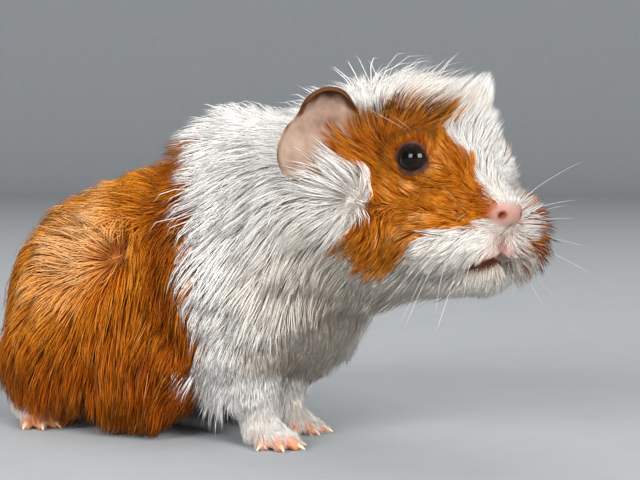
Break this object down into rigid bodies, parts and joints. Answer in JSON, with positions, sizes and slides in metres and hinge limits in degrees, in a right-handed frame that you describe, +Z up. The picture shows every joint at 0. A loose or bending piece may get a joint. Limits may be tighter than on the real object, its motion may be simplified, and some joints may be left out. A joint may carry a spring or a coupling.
{
  "type": "guinea pig",
  "caption": "Life-size guinea pig with a long rough ginger and white coat, standing with its head raised; a still model that rests on its feet.",
  "frame": {"origin": "on the floor, under the middle of the animal's bounding box", "axes": "+X the way the body faces, +Y to the animal's left, +Z up"},
  "size_m": [0.2122, 0.0902, 0.1198],
  "materials": {
    "ginger_coat": "long silky hair",
    "white_coat": "long silky hair",
    "pink_skin": "bare skin, soft sheen",
    "ear_skin": "thin bare skin, downy",
    "eye": "wet, very glossy",
    "claw": "smooth horn"
  },
  "bodies": {
    "root": {"nose": "pink_skin", "eye_right": "eye", "ear_right": "ear_skin", "eye_left": "eye", "ear_left": "ear_skin", "foreleg_right": "white_coat", "forefoot_right": "pink_skin", "forefoot_right_claw_1": "claw", "forefoot_right_claw_2": "claw", "forefoot_right_claw_3": "claw", "forefoot_right_claw_4": "claw", "hindfoot_right": "pink_skin", "hindfoot_right_claw_1": "claw", "hindfoot_right_claw_2": "claw", "hindfoot_right_claw_3": "claw", "thigh_right": "ginger_coat", "foreleg_left": "white_coat", "forefoot_left": "pink_skin", "forefoot_left_claw_1": "claw", "forefoot_left_claw_2": "claw", "forefoot_left_claw_3": "claw", "forefoot_left_claw_4": "claw", "hindfoot_left": "pink_skin", "hindfoot_left_claw_1": "claw", "hindfoot_left_claw_2": "claw", "hindfoot_left_claw_3": "claw", "thigh_left": "ginger_coat", "rump": "ginger_coat", "trunk": "ginger_coat", "shoulders": "white_coat", "neck": "white_coat", "jaw": "white_coat", "muzzle": "white_coat", "head": "ginger_coat"}
  },
  "joints": []
}
